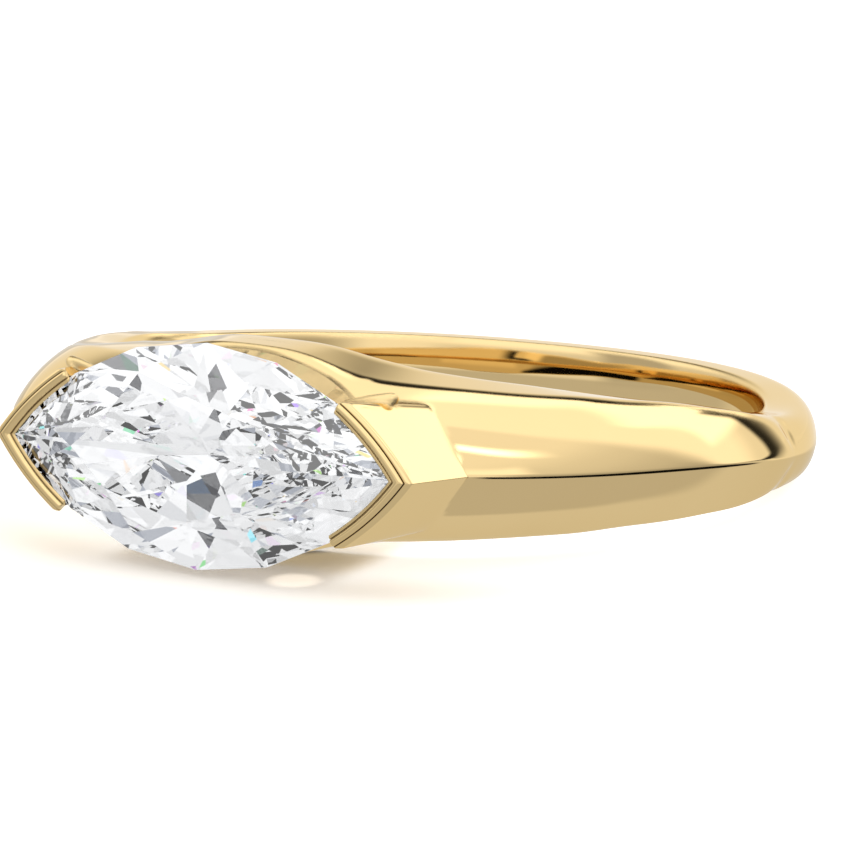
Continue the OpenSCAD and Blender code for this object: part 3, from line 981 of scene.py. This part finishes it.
# %% Colours of the tent
studio_glow = add_node(tree, "ShaderNodeBackground", None,
                       {"Color": linear("#FFFFFF"), "Strength": studio_light})
cool_greys = add_node(tree, "ShaderNodeValToRGB", None, {"Fac": stone_light})
ramp = cool_greys.color_ramp
ramp.elements[0].position = 0.1
ramp.elements[0].color = linear("#8F96AE")
ramp.elements[1].position = 0.85
ramp.elements[1].color = linear("#FFFFFF")
ramp.elements.new(0.55).color = linear("#DCE3F2")
cells = add_node(tree, "ShaderNodeTexVoronoi", None, {"Vector": look.outputs["Generated"], "Scale": 100.0})
chance = add_node(tree, "ShaderNodeSeparateColor", None, {"Color": cells.outputs["Color"]})
flashing = add_node(tree, "ShaderNodeMath", {"operation": "GREATER_THAN"},
                    {0: chance.outputs["Red"], 1: 0.975})
flash = add_node(tree, "ShaderNodeCombineColor", {"mode": "HSV"},
                 {0: chance.outputs["Green"], 1: 0.7, 2: 1.0})
stone_colour = add_node(tree, "ShaderNodeMix", {"data_type": "RGBA"},
                        {0: flashing.outputs[0], 6: cool_greys.outputs["Color"], 7: flash.outputs["Color"]})
stone_glow = add_node(tree, "ShaderNodeBackground", None,
                      {"Color": stone_colour.outputs[2], "Strength": stone_light})
rays = add_node(tree, "ShaderNodeLightPath")
either_tent = add_node(tree, "ShaderNodeMixShader", None,
                       {0: rays.outputs["Is Transmission Ray"], 1: studio_glow.outputs[0],
                        2: stone_glow.outputs[0]})
add_node(tree, "ShaderNodeOutputWorld", None, {"Surface": either_tent.outputs[0]})
bpy.context.scene.world = world
bpy.context.scene.view_settings.view_transform = "Standard"
bpy.context.scene.cycles.max_bounces = 40
bpy.context.scene.cycles.transmission_bounces = 40
bpy.context.scene.cycles.glossy_bounces = 12
print("tent nodes:", len(tree.nodes))

# %% [markdown]
# The camera stands where the photo's camera stood: a little to the ring's right and a little above it,
# close as for a small object, with the photo's scale at the ring's middle. The angle was measured
# against the ring itself, so the small difference between its lean there and at rest is put back in.

# %% The photo's camera
PHOTO_PX = 850
view_azimuth = math.radians(28.66)
view_elevation = math.radians(12.7)
px_per_mm = 38.79
frame_x = 440.05  # the ring's middle in the photo, in pixels
frame_y = 407.8
camera_mm = 120.0
fit_lean = math.radians(5.384)  # the lean that the photo's ring was measured with
into_rest = Matrix.Rotation(-(rest_lean - fit_lean), 4, "X")
back_way = into_rest @ Vector((math.sin(view_azimuth) * math.cos(view_elevation),
                               -math.cos(view_azimuth) * math.cos(view_elevation),
                               math.sin(view_elevation)))
right_way = into_rest @ Vector((math.cos(view_azimuth), math.sin(view_azimuth), 0))
up_way = back_way.cross(right_way)
off_right = (frame_x - PHOTO_PX / 2) / px_per_mm
off_up = -(frame_y - PHOTO_PX / 2) / px_per_mm
camera_place = (back_way * camera_mm - right_way * off_right - up_way * off_up) * MM
camera_data = bpy.data.cameras.new("camera")
camera_data.sensor_width = 36.0
camera_data.lens = camera_data.sensor_width * px_per_mm * camera_mm / PHOTO_PX
camera_data.clip_start = 0.001
camera = bpy.data.objects.new("camera", camera_data)
camera_axes = Matrix((right_way, up_way, back_way)).transposed()
camera.matrix_world = Matrix.Translation(camera_place) @ camera_axes.to_4x4()
bpy.context.scene.collection.objects.link(camera)
bpy.context.scene.camera = camera
print("camera at", [round(c / MM, 1) for c in camera.location], "mm")

# %% [markdown]
# Both pieces stand in for their CAD nodes, which are hidden, and ride with the ring.

# %% Ride and replace
finishes = ((gold_mount, "gold_mount", "gold"), (marquise_stone, "marquise_stone", "diamond"))
for piece, node, slot in finishes:
    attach(piece, "root")
    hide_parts(node)
gold_mount.name = "polished_mount"
